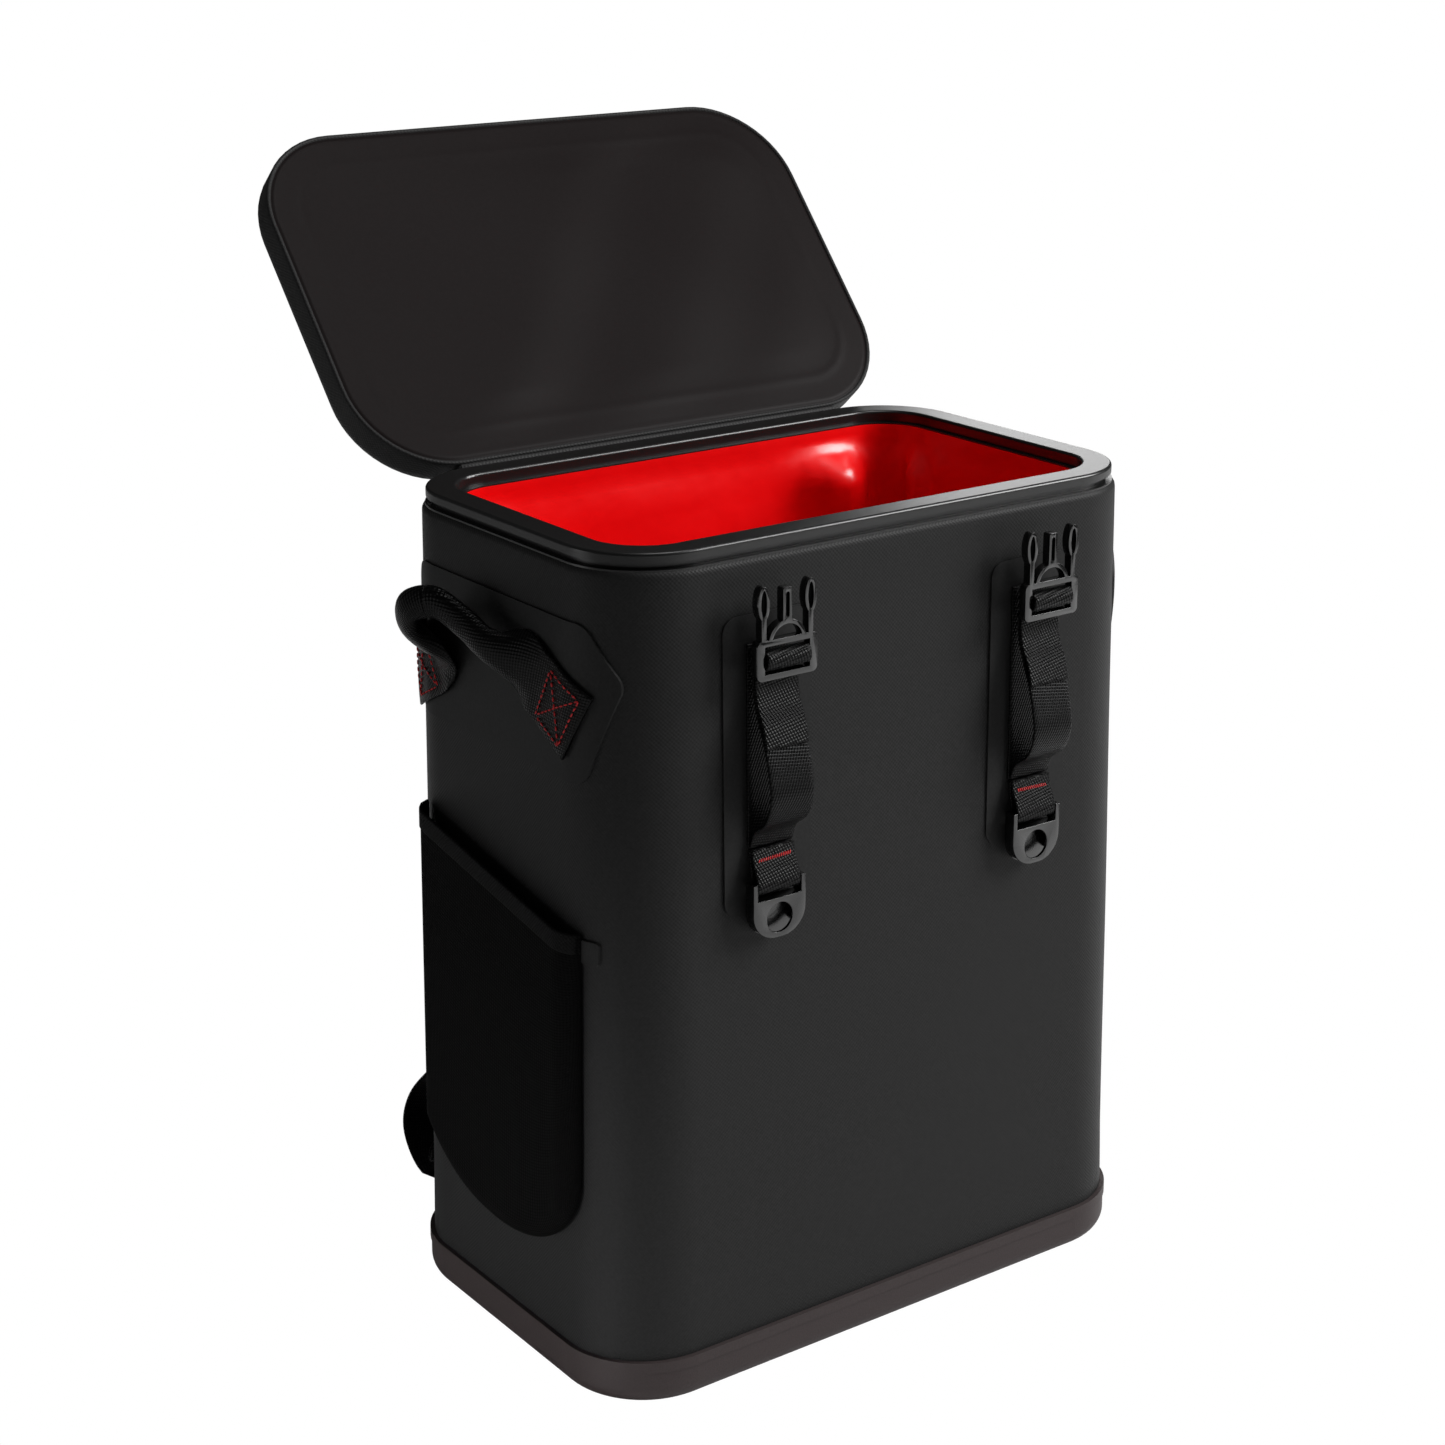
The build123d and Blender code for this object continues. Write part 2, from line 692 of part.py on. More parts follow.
# Shoulder pads: one curve seen from behind, another seen from the side
pad_side_view = [(behind, height) for across, behind, height in shoulder_route]
pad_back_view = [(-across, height) for across, behind, height in shoulder_route]
with BuildPart() as shoulder_pad:
    with BuildSketch(Plane.YZ):
        with BuildLine():
            Spline(*pad_side_view, tangents=[(1, -2), (0, -1)])
        trace(line_width=shoulder_pad_thickness)
    extrude(amount=-base_width)
    with BuildSketch(Plane.XZ):
        with BuildLine():
            Spline(*pad_back_view, tangents=[(0, -1), (0, -1)])
        trace(line_width=shoulder_pad_width)
    extrude(amount=-base_depth, mode=Mode.INTERSECT)
finish_pair("shoulder_pad", shoulder_pad.part)

# Adjusters at the foot of the shoulder pads
pad_end = shoulder_route[-1]
adjuster_z = pad_end[2] - soft_gap - ladder_height / 2
adjuster_place = (-pad_end[0], pad_end[1], adjuster_z)
adjuster_plane = Plane(adjuster_place, x_dir=(-1, 0, 0), z_dir=(0, 1, 0))
with BuildPart() as adjuster:
    with BuildSketch(adjuster_plane):
        RectangleRounded(ladder_width, ladder_height, ladder_rail)
        with Locations((0, slot_centre), (0, -slot_centre)):
            Rectangle(slot_width, ladder_slot, mode=Mode.SUBTRACT)
    extrude(amount=buckle_thickness / 2, both=True)
finish_pair("adjuster", adjuster.part)

# Lower webbing, slack between the adjuster and its anchor, built like the shoulder pads from two views
adjuster_low = adjuster_z - ladder_height / 2
anchor_y = half_depth(lower_anchor_height) + lower_anchor_thickness + seat_gap + soft_gap + webbing / 2
lower_start = (pad_end[0], pad_end[1], adjuster_low - soft_gap)
lower_end = (lower_anchor_offset, anchor_y, lower_anchor_height)
lower_points = [lower_start, *lower_route, lower_end]
lower_side_view = [(behind, height) for across, behind, height in lower_points]
lower_back_view = [(-across, height) for across, behind, height in lower_points]
with BuildPart() as lower_webbing:
    with BuildSketch(Plane.YZ):
        with BuildLine():
            Spline(*lower_side_view)
        trace(line_width=webbing)
    extrude(amount=-base_width)
    with BuildSketch(Plane.XZ):
        with BuildLine():
            Spline(*lower_back_view, tangents=[(0, -1), (0, -1)])
        trace(line_width=strap_width)
    extrude(amount=-base_depth, mode=Mode.INTERSECT)
finish_pair("lower_webbing", lower_webbing.part)

with BuildSketch(Plane.XZ) as anchor_outline:
    with Locations((-lower_anchor_offset, lower_anchor_height)):
        RectangleRounded(lower_anchor_width, lower_anchor_rise, lower_anchor_radius)
lower_anchor = tub_skin(back_prism(anchor_outline.sketch), seat_gap, seat_gap + lower_anchor_thickness)
finish_pair("lower_anchor", lower_anchor)
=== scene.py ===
import json
import math

import bmesh
import bpy
import numpy as np
from mathutils import Matrix, Vector

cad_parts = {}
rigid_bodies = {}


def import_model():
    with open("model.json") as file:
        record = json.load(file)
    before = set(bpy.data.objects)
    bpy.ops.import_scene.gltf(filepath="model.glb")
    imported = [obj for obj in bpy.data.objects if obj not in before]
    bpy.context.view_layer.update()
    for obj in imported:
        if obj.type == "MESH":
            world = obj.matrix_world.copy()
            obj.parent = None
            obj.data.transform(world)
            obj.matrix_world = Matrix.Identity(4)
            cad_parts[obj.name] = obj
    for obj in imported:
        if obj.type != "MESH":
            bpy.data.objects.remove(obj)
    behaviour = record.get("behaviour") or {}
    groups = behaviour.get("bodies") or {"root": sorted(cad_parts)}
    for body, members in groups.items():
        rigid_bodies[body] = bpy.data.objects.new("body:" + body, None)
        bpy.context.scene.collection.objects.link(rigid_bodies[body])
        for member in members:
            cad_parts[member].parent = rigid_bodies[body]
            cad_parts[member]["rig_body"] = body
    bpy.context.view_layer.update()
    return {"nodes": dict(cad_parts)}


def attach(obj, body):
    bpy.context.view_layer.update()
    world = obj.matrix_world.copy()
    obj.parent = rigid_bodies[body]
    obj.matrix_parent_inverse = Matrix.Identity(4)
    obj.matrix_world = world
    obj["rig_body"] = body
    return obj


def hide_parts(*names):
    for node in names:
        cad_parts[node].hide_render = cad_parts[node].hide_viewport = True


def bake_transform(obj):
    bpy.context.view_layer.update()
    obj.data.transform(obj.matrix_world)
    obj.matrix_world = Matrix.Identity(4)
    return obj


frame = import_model()
print("frame loaded")

# Lengths of the pieces are in millimetres, scaled once where a mesh is made; the studio is in metres.
mm = 0.001
tub = {"baseHalf": (179.25, 110.6), "taper": (0.019482, 0.0076577), "corner": 47.0, "shoulder": 444.0}
lid = {"size": (350.0, 211.8, 54.0), "thick": 24.0, "edge": 10.0, "open": 131.2, "hinge": (110.5, 453.1)}
leftWay = np.array([-1.0, 0, 0])


def linear(code):  # sRGB hex to a linear colour
    parts = [int(code[i:i + 2], 16) / 255 for i in (0, 2, 4)]
    return [p / 12.92 if p <= 0.04045 else ((p + 0.055) / 1.055) ** 2.4 for p in parts] + [1.0]


def addNode(tree, kind, settings, sockets):  # sockets hold constants, or outputs to link
    node = tree.nodes.new(kind)
    for key, value in settings.items():
        setattr(node, key, value)
    for key, value in sockets.items():
        if isinstance(value, bpy.types.NodeSocket):
            tree.links.new(value, node.inputs[key])
        else:
            node.inputs[key].default_value = value
    return node


def newMaterial(name, colour, rough, more=None):
    mat = bpy.data.materials.new(name)
    mat.use_nodes = True
    shader = mat.node_tree.nodes["Principled BSDF"]
    shader.inputs["Base Color"].default_value = linear(colour)
    shader.inputs["Roughness"].default_value = rough
    for key, value in (more or {}).items():
        shader.inputs[key].default_value = value
    return mat, mat.node_tree, shader


def addBump(tree, shader, height, depth):  # depth in mm
    bump = addNode(tree, "ShaderNodeBump", {}, {"Height": height, "Distance": depth * mm, "Strength": 1.0})
    tree.links.new(bump.outputs["Normal"], shader.inputs["Normal"])


def tintBy(tree, shader, amount, dark, light):  # base colour between two hex codes
    mix = addNode(tree, "ShaderNodeMix", {"data_type": "RGBA"}, {0: amount, 6: linear(dark), 7: linear(light)})
    tree.links.new(mix.outputs[2], shader.inputs["Base Color"])


def noiseOf(tree, size, detail):  # noise whose features are about size mm
    place = addNode(tree, "ShaderNodeTexCoord", {}, {})
    sockets = {"Vector": place.outputs["Object"], "Scale": 1 / (size * mm), "Detail": detail}
    return addNode(tree, "ShaderNodeTexNoise", {}, sockets).outputs[0]


def wavesOf(tree, pitchAcross, pitchAlong, turn=0.0):  # product of two sines over the uv, 0 to 1, pitches in mm
    place = addNode(tree, "ShaderNodeTexCoord", {}, {})
    spin = addNode(tree, "ShaderNodeMapping", {}, {"Vector": place.outputs["UV"], "Rotation": (0, 0, turn)})
    parts = addNode(tree, "ShaderNodeSeparateXYZ", {}, {0: spin.outputs[0]})
    sines = []
    for axis, pitch in ((0, pitchAcross), (1, pitchAlong)):
        angle = addNode(tree, "ShaderNodeMath", {"operation": "MULTIPLY"},
                        {0: parts.outputs[axis], 1: 2 * math.pi / (pitch * mm)})
        sines.append(addNode(tree, "ShaderNodeMath", {"operation": "SINE"}, {0: angle.outputs[0]}).outputs[0])
    both = addNode(tree, "ShaderNodeMath", {"operation": "MULTIPLY"}, {0: sines[0], 1: sines[1]})
    return addNode(tree, "ShaderNodeMath", {"operation": "MULTIPLY_ADD"},
                   {0: both.outputs[0], 1: 0.5, 2: 0.5}).outputs[0]


# Materials, each with what it gives the eye
coatedFabric, tree, shader = newMaterial("coated_polyester", "222222", 0.5, {"Specular IOR Level": 0.13})
weave = wavesOf(tree, 2.2, 2.2)  # matt charcoal with a fine grain; the true 0.9 mm weave is drawn coarser
tintBy(tree, shader, noiseOf(tree, 1.6, 3), "1b1b1b", "2a2a2a")
addBump(tree, shader, weave, 0.12)

patchFabric, tree, shader = newMaterial("welded_patch_film", "222222", 0.5, {"Specular IOR Level": 0.13})
tintBy(tree, shader, noiseOf(tree, 1.6, 3), "1b1b1b", "292929")  # the same charcoal, laid on in a second layer
addBump(tree, shader, noiseOf(tree, 1.2, 2), 0.06)

bootPlastic, tree, shader = newMaterial("moulded_base", "383131", 0.5, {"Specular IOR Level": 0.22})
tintBy(tree, shader, noiseOf(tree, 0.9, 2), "302a2a", "403838")  # slightly brown satin with a fine grain
addBump(tree, shader, noiseOf(tree, 0.9, 2), 0.06)

collarPlastic, tree, shader = newMaterial("satin_rim_plastic", "121212", 0.3)
addBump(tree, shader, noiseOf(tree, 0.8, 2), 0.02)  # near black with a soft bright edge

redLiner, tree, shader = newMaterial("red_coated_liner", "ee0307", 0.3,
                                     {"Coat Weight": 0.2, "Coat Roughness": 0.15})
addBump(tree, shader, noiseOf(tree, 30.0, 2), 1.2)  # saturated red film that shines along its creases

panelFilm, tree, shader = newMaterial("lid_panel_film", "171313", 0.42, {"Specular IOR Level": 0.05})
tintBy(tree, shader, noiseOf(tree, 2.0, 3), "151111", "1a1616")  # brown-grey film with a broad soft sheen
addBump(tree, shader, noiseOf(tree, 1.0, 2), 0.03)

webbingFabric, tree, shader = newMaterial("woven_webbing", "050505", 0.28, {"Specular IOR Level": 0.11})
ribs = wavesOf(tree, 2.6, 2.0, 0.5)  # black nylon that glints at its bends; the true 1 mm ribs are drawn coarser
# the tint darkens the hollows between the ribs: painted shade
tintBy(tree, shader, ribs, "010101", "0a0a0a")
addBump(tree, shader, ribs, 0.33)

bucklePlastic, tree, shader = newMaterial("acetal_buckle", "030303", 0.2, {"Specular IOR Level": 0.9})
addBump(tree, shader, noiseOf(tree, 1.2, 2), 0.04)  # glossy black whose bevels catch the light

pocketMesh, tree, shader = newMaterial("stretch_mesh", "050505", 0.8, {"Specular IOR Level": 0.06})
holes = wavesOf(tree, 3.0, 2.4, 0.785)  # almost black net; the true 1 mm holes are drawn coarser
# the tint darkens the holes, standing for the wall seen through them in shade: painted shade
tintBy(tree, shader, holes, "020202", "090909")
addBump(tree, shader, holes, 0.3)

elastic, tree, shader = newMaterial("knitted_elastic", "0a0a0a", 0.7, {"Specular IOR Level": 0.1})
addBump(tree, shader, wavesOf(tree, 2.2, 2.2), 0.3)  # a shade over the net; 1 mm knit drawn coarser

padFabric, tree, shader = newMaterial("spacer_pad_fabric", "191919", 0.8, {"Specular IOR Level": 0.2})
cells = wavesOf(tree, 5.0, 5.0, 0.785)  # dull black air mesh, its cells about 3.5 mm apart
# the tint darkens the hollows of the cells: painted shade
tintBy(tree, shader, cells, "0b0b0b", "191919")
addBump(tree, shader, cells, 0.4)

redThread = newMaterial("red_thread", "c3161a", 0.6)[0]  # the only bright line work
foamWhite = newMaterial("closed_cell_foam", "b9b5ac", 0.9)[0]  # hidden between the skins
print("materials made")


def gridMesh(name, points, uv, wrap=False, caps=()):
    # rows by columns of points; quads join neighbours, wrap closes the columns, caps fill the first or last row
    rows, cols = points.shape[:2]
    index = np.arange(rows * cols).reshape(rows, cols)
    ends = [index[0][::-1].tolist()] if "first" in caps else []
    ends += [index[-1].tolist()] if "last" in caps else []
    if wrap:
        index = np.concatenate([index, index[:, :1]], 1)
    here, there = slice(None, -1), slice(1, None)
    corners = ((here, here), (here, there), (there, there), (there, here))
    quads = np.stack([index[c] for c in corners], -1).reshape(-1, 4)
    loops = np.stack([uv[c] for c in corners], -2).reshape(-1, 2)
    loops = np.concatenate([loops, np.zeros((sum(len(e) for e in ends), 2))])
    mesh = bpy.data.meshes.new(name)
    mesh.from_pydata((points.reshape(-1, 3) * mm).tolist(), [], quads.tolist() + ends)
    layer = mesh.uv_layers.new(name="uv")
    layer.data.foreach_set("uv", (loops * mm).astype(np.float32).ravel())
    mesh.polygons.foreach_set("use_smooth", [True] * len(mesh.polygons))
    mesh.update()
    made = bpy.data.objects.new(name, mesh)
    bpy.context.scene.collection.objects.link(made)
    return made


def dress(made, mat, body, nodes):
    made.data.materials.clear()
    made.data.materials.append(mat)
    if body:
        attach(made, body)
    if nodes:
        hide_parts(*nodes)
    return made


def unit(v):
    return v / np.maximum(np.linalg.norm(v, axis=-1, keepdims=True), 1e-9)


def lengthAlong(path):
    return np.concatenate([[0], np.cumsum(np.linalg.norm(np.diff(path, axis=0), axis=1))])


def smooth(points, count):
    # curve through the points: cubic pieces with slopes from the neighbours, sampled evenly by chord
    points = np.asarray(points, float)
    knots = lengthAlong(points)
    slope = np.gradient(points, knots, axis=0)
    t = np.linspace(0, knots[-1], count)
    k = np.clip(np.searchsorted(knots, t) - 1, 0, len(knots) - 2)
    h = (knots[k + 1] - knots[k])[:, None]
    f = ((t - knots[k])[:, None]) / h
    return ((2 * f**3 - 3 * f**2 + 1) * points[k] + (f**3 - 2 * f**2 + f) * h * slope[k]
            + (3 * f**2 - 2 * f**3) * points[k + 1] + (f**3 - f**2) * h * slope[k + 1])


def clothMesh(name, surf, thick):
    # a mid-surface of rows along and columns across, thickened both ways, its long edges rounded
    across = unit(np.gradient(surf, axis=1))
    normal = unit(np.cross(across, np.gradient(surf, axis=0)))
    half = np.broadcast_to(np.asarray(thick, float) / 2, surf.shape[:2])[..., None]
    top, low = surf + normal * half, (surf - normal * half)[:, ::-1]
    turns = np.radians([50, 0, -50])
    right = [surf[:, -1] + half[:, -1] * (across[:, -1] * math.cos(a) + normal[:, -1] * math.sin(a))
             for a in turns]
    left = [surf[:, 0] - half[:, 0] * (across[:, 0] * math.cos(a) + normal[:, 0] * math.sin(a))
            for a in turns]
    points = np.concatenate([top, np.stack(right, 1), low, np.stack(left, 1)], 1)
    wide = np.stack([lengthAlong(row) for row in surf])
    u = np.concatenate([wide, np.repeat(wide[:, -1:], 3, 1), wide[:, ::-1],
                        np.repeat(wide[:, :1], 4, 1)], 1)
    v = np.broadcast_to(lengthAlong(surf[:, surf.shape[1] // 2])[:, None], u.shape)
    return gridMesh(name, points, np.stack([u, v], -1), wrap=True, caps=("first", "last"))


def bandSurf(path, across, width, cols=9):  # a flat strip: path points plus steps along the across vectors
    steps = np.linspace(-width / 2, width / 2, cols)
    return path[:, None, :] + np.broadcast_to(across, path.shape)[:, None, :] * steps[None, :, None]


def mirrored(surf):  # the right-hand twin, its columns turned round so that its faces stay outward
    return (surf * np.array([-1, 1, 1]))[:, ::-1]


def halfWidth(z):
    return tub["baseHalf"][0] - tub["taper"][0] * z


def halfDepth(z):
    return tub["baseHalf"][1] - tub["taper"][1] * z


def sidePoint(s, off, z):
    # left wall: s runs from its middle toward the front, round the corner arcs, off is the distance outward
    s, off, z = np.broadcast_arrays(*(np.asarray(a, float) for a in (s, off, z)))
    flat = halfDepth(z) - tub["corner"]
    angle = np.maximum(np.abs(s) - flat, 0) / tub["corner"]
    reach = tub["corner"] + off
    x = -(halfWidth(z) - tub["corner"]) - reach * np.cos(angle)
    y = -np.sign(s) * (np.minimum(np.abs(s), flat) + reach * np.sin(angle))
    return np.stack([x, y, z], -1)


def frontPoint(x, off, z):
    x, off, z = np.broadcast_arrays(*(np.asarray(a, float) for a in (x, off, z)))
    return np.stack([x, -(halfDepth(z) + off), z], -1)


def lidPlace(p):  # closed-lid coordinates, y from the hinge line and z up, turned open about the hinge line
    a = math.radians(lid["open"])
    y, z = p[..., 1], p[..., 2]
    return np.stack([p[..., 0], lid["hinge"][0] + y * math.cos(a) + z * math.sin(a),
                     lid["hinge"][1] - y * math.sin(a) + z * math.cos(a)], -1)


def roundRect(halfWide, halfDeep, radius, arc=14, side=24):
    # four corner arcs joined by straight runs, anticlockwise from the rear end of the right side
    arcs = []
    for turn, (sx, sy) in enumerate(((1, 1), (-1, 1), (-1, -1), (1, -1))):
        a = np.radians(90 * turn + np.linspace(0, 90, arc + 1))
        arcs.append(np.stack([sx * (halfWide - radius) + radius * np.cos(a),
                              sy * (halfDeep - radius) + radius * np.sin(a)], 1))
    share = np.linspace(0, 1, side + 1)[1:-1, None]
    runs = []
    for turn in range(4):
        start, stop = arcs[turn][-1], arcs[(turn + 1) % 4][0]
        runs += [arcs[turn], start + (stop - start) * share]
    return np.concatenate(runs)


def ringSweep(rings):
    # rings of (z, half width, half depth, radius) stacked into a grid, with the uv and the way outward
    outlines = [roundRect(w, d, r) for z, w, d, r in rings]
    grid = np.stack([np.concatenate([outline, np.full((len(outline), 1), ring[0])], 1)
                     for outline, ring in zip(outlines, rings)])
    closed = np.concatenate([grid, grid[:, :1]], 1)
    u = np.stack([lengthAlong(row) for row in closed])
    v = np.stack([lengthAlong(closed[:, c]) for c in range(closed.shape[1])], 1)
    outward = np.roll(grid, -1, 1) - np.roll(grid, 1, 1)
    outward = unit(np.stack([outward[..., 1], -outward[..., 0], 0 * outward[..., 0]], -1))
    return grid, np.stack([np.broadcast_to(u[len(u) // 2], u.shape), v], -1), outward


def bell(x, middle, width):
    return np.exp(-((x - middle) / width) ** 2)


def ramp(distance, run):  # 0 up to 1 over the run
    return np.clip(distance / run, 0, 1)


# Tub skin: charcoal fabric, rolled in under the collar at the shoulder
skin = {"roll": 4.0, "foot": 5.0, "tuck": 1.1, "soft": 0.35, "calmTop": 12, "calmFoot": 34}
heights = np.linspace(skin["foot"], tub["shoulder"] - skin["roll"], 60)
rings = [(z, halfWidth(z), halfDepth(z), tub["corner"]) for z in heights]
for a in np.radians([20, 40, 60, 80, 90]):
    z, inward = heights[-1] + skin["roll"] * math.sin(a), skin["roll"] * (1 - math.cos(a))
    rings.append((z, halfWidth(z) - inward, halfDepth(z) - inward, tub["corner"] - inward))
rings.append((tub["shoulder"] + 0.05, *(r - skin["tuck"] for r in rings[-1][1:])))
grid, uv, outward = ringSweep(rings)
x, y, z = grid[..., 0], grid[..., 1], grid[..., 2]
calm = ramp(tub["shoulder"] - skin["calmTop"] - z, 40) * ramp(z - skin["calmFoot"], 30)
# the wall sinks a little between crossed slow waves, and stays true at the shoulder and the boot
ripple = np.sin(x / 61 + z / 83) * np.sin(y / 47 - z / 71 + 1) + 0.5 * np.sin(z / 37 + x / 90 + y / 40)
grid = grid - outward * (skin["soft"] * calm * (0.75 + 0.5 * ripple))[..., None]
made = gridMesh("tubSkin", grid, uv, wrap=True)
dress(made, coatedFabric, "tub", ["outer_shell"])
print("tub skin made")

# Liner: thin red film, slack at its corners, seen only from inside
# each fold is its angle round the tub, its height, its width as an angle and its mm proud
liner = {"inset": 20.7, "top": 437.0, "low": 32.0, "round": 14.0, "slack": 1.1,
         "lap": (149.2, 85.9, 25.7), "lapHeights": (445.3, 441.0), "corner": 4, "middle": 300,
         "floorSteps": (45, 60, 80, 100), "floorAt": 20,
         "folds": [(0.6, 400, 0.05, 10), (0.97, 418, 0.085, 20), (2.3, 350, 0.05, 12),
                   (-0.75, 360, 0.05, 12), (-2.4, 340, 0.05, 12)]}
levels = np.linspace(liner["top"], liner["low"] + liner["round"], 70)
rings = [(z, *liner["lap"]) for z in liner["lapHeights"]]  # the film's top edge laps the collar's inner lip
rings += [(z, halfWidth(z) - liner["inset"], halfDepth(z) - liner["inset"], tub["corner"] - liner["inset"])
          for z in levels]
for a in np.radians([15, 30, 45, 60, 75, 90]):
    z = levels[-1] - liner["round"] * math.sin(a)
    inward = liner["inset"] + liner["round"] * (1 - math.cos(a))
    rings.append((z, halfWidth(z) - inward, halfDepth(z) - inward,
                  max(tub["corner"] - inward, liner["corner"])))
for inward in liner["floorSteps"]:
    rings.append((rings[-1][0], halfWidth(liner["floorAt"]) - inward, halfDepth(liner["floorAt"]) - inward,
                  liner["corner"]))
grid, uv, outward = ringSweep(rings)
x, y, z = grid[..., 0], grid[..., 1], grid[..., 2]
depth = ramp(liner["top"] - z, 16) * ramp(z - liner["low"], 40)
turn = np.arctan2(y / halfDepth(liner["middle"]), x / halfWidth(liner["middle"]))
swell = np.sin(x / 29 + 0.02 * z) * np.sin(z / 53 + x / 71) + np.sin(y / 23 + z / 47)
inward = liner["slack"] * (1.4 + 0.6 * swell) * depth
for middle, tall, wide, proud in liner["folds"]:
    lean = middle + 0.0011 * (z - tall) + 0.05 * np.sin(z / 38)  # a slanted fold near a corner
    inward += proud * depth * bell(turn, lean, wide) * (0.35 + 0.65 * bell(z, tall, 90))
grid = grid - outward * inward[..., None]
made = gridMesh("linerFilm", grid, uv, wrap=True, caps=("last",))
dress(made, redLiner, "tub", ["inner_liner"])
print("liner made")

# Lid shell: a soft-edged tray; its underside rim shows round the panel
wide, deep, radius = lid["size"]
edge = {"rim": 2.2, "round": 1.3}
profile = [(edge["rim"] + 0.6, 1.6), (edge["rim"], 0.2), (edge["round"], 0.0)]
profile += [(edge["round"] * (1 - math.sin(a)), edge["round"] * (1 - math.cos(a)))
            for a in np.radians([30, 60, 90])]
profile += [(0, z) for z in (5, 9, lid["thick"] - lid["edge"])]
profile += [(lid["edge"] * (1 - math.cos(a)), lid["thick"] - lid["edge"] * (1 - math.sin(a)))
            for a in np.radians([15, 30, 45, 60, 75, 90])]
rings = [(z, wide / 2 - i, deep / 2 - i, radius - i) for i, z in profile]
grid, uv = ringSweep(rings)[:2]
made = gridMesh("lidTray", lidPlace(grid - np.array([0, deep / 2, 0])), uv, wrap=True)
dress(made, coatedFabric, "lid", ["lid_shell"])


def plateGrid(inset, facing, rows=110, cols=170):
    # rows across the lid, each as wide as the rounded outline there; depth is the distance in from that outline
    halfDeep, corner = deep / 2 - inset, radius - inset
    y = halfDeep * np.sin(np.linspace(-math.pi / 2, math.pi / 2, rows))[:, None]
    over = np.maximum(np.abs(y) - (halfDeep - corner), 0)
    half = wide / 2 - inset - corner + np.sqrt(np.maximum(corner**2 - over**2, 0))
    x = half * np.sin(np.linspace(-math.pi / 2, math.pi / 2, cols))[None, :] * facing
    y = np.broadcast_to(y, x.shape)
    outX, outY = np.abs(x) - (wide / 2 - radius), np.abs(y) - (deep / 2 - radius)
    depth = radius - np.hypot(np.maximum(outX, 0), np.maximum(outY, 0)) - np.minimum(np.maximum(outX, outY), 0)
    return x, y, depth


def plateMesh(name, x, y, z):
    points = lidPlace(np.stack([x, y - deep / 2, z], -1))
    return gridMesh(name, points, np.stack([x, y], -1))


# Lid top: the same fabric over the foam, dished very little
dish = {"deep": 0.6, "over": 40}
x, y, depth = plateGrid(lid["edge"], 1)
sunk = dish["deep"] * ramp(depth - lid["edge"], dish["over"]) * (1 + 0.4 * np.sin(x / 55))
made = plateMesh("lidTop", x, y, lid["thick"] - sunk)
dress(made, coatedFabric, "lid", ["lid_shell"])

# Lid panel: film over foam, with the faint pressed line of the seal and a slow slanting swell
panel = {"inset": 2.4, "line": 20.0, "lineWide": 2.6, "lineProud": 0.3, "swell": 1.3, "roll": 0.7,
         "height": 0.35}
x, y, depth = plateGrid(panel["inset"], -1)
slant = x * 0.82 + y * 0.57
calm = ramp(depth - 8, 30)
swell = panel["swell"] * calm * (bell(slant, -28, 26) + 0.8 * bell(slant, 62, 30) + 0.5 * bell(slant, 128, 22)
                                 - 0.5 * bell(slant, 18, 22) + 0.2 * np.sin(x / 31 - y / 23))
patchy = 0.55 + 0.45 * np.sin(x / 17 + y / 13) * np.sin(y / 29)
rolled = panel["roll"] * bell(depth, panel["inset"], 1.4)
pressed = panel["lineProud"] * bell(depth, panel["line"], panel["lineWide"]) * patchy
made = plateMesh("lidPanelFilm", x, y, panel["height"] - pressed - swell + rolled)
dress(made, panelFilm, "lid", ["lid_panel", "lid_seal"])
print("lid made")

# Hinge strip: one fabric flap from the back wall over the hinge line and down the lid's back edge
strip = {"width": 250.0, "thick": 0.9, "lap": 13.0, "off": 0.8, "crest": 0.55,
         "route": [(109.0, 404), (108.2, 430), (107.9, 444), (108.2, 449), (108.9, 452.0)]}
path = np.array([(0, y, z) for y, z in smooth(strip["route"], 26)])
lap = lidPlace(np.array([(0, strip["off"], z) for z in np.linspace(0.9, strip["lap"], 14)]))
middle = (path[-1] + lap[0]) / 2 + np.array([0, 0, strip["crest"]])
path = np.concatenate([path, smooth([path[-1], middle, lap[0]], 7)[1:-1], lap])
made = clothMesh("hingeFlap", bandSurf(path, leftWay, strip["width"], 30), strip["thick"])
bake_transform(made)
dress(made, coatedFabric, None, ["hinge_strip"])

# Webbing, 25 mm wide; a front route holds distance forward of the tub's middle, then height
web = {"width": 25.0, "thick": 1.4, "x": 85.0}
daisy = {"low": 296.5, "high": 402.0, "off": 1.8}
latch = {"bar": 397.0, "standOff": 15.0, "turn": 4.25, "tail": 352.0}
barY = halfDepth(latch["bar"]) + latch["standOff"]
latchRoute = [(halfDepth(297) + 3.5, 297.5), (halfDepth(305) + 6.5, 305.5), (halfDepth(315) + 16.5, 314),
              (halfDepth(326) + 21, 326), (halfDepth(340) + 19.5, 340), (halfDepth(354) + 15.5, 354),
              (barY - 3.0, 363), (barY - 6.6, 374), (barY - 8.2, 386), (barY - 6.2, 393)]
latchRoute += [(barY - latch["turn"] * math.cos(a), latch["bar"] + latch["turn"] * math.sin(a))
               for a in np.radians([0, 30, 60, 90, 120, 150, 180])]
latchRoute += [(barY + 3.9, 394.5), (barY + 2.4, 392.9), (barY - 0.8, 392.3), (barY - 4.2, 391.2),
               (barY - 5.8, 388), (barY - 6.2, 384), (barY - 4.7, 372), (barY + 0.2, 362),
               (barY + 3.0, latch["tail"])]  # back through the slot, so the tail hangs behind the rail
lowBar = halfDepth(277) + 7.5
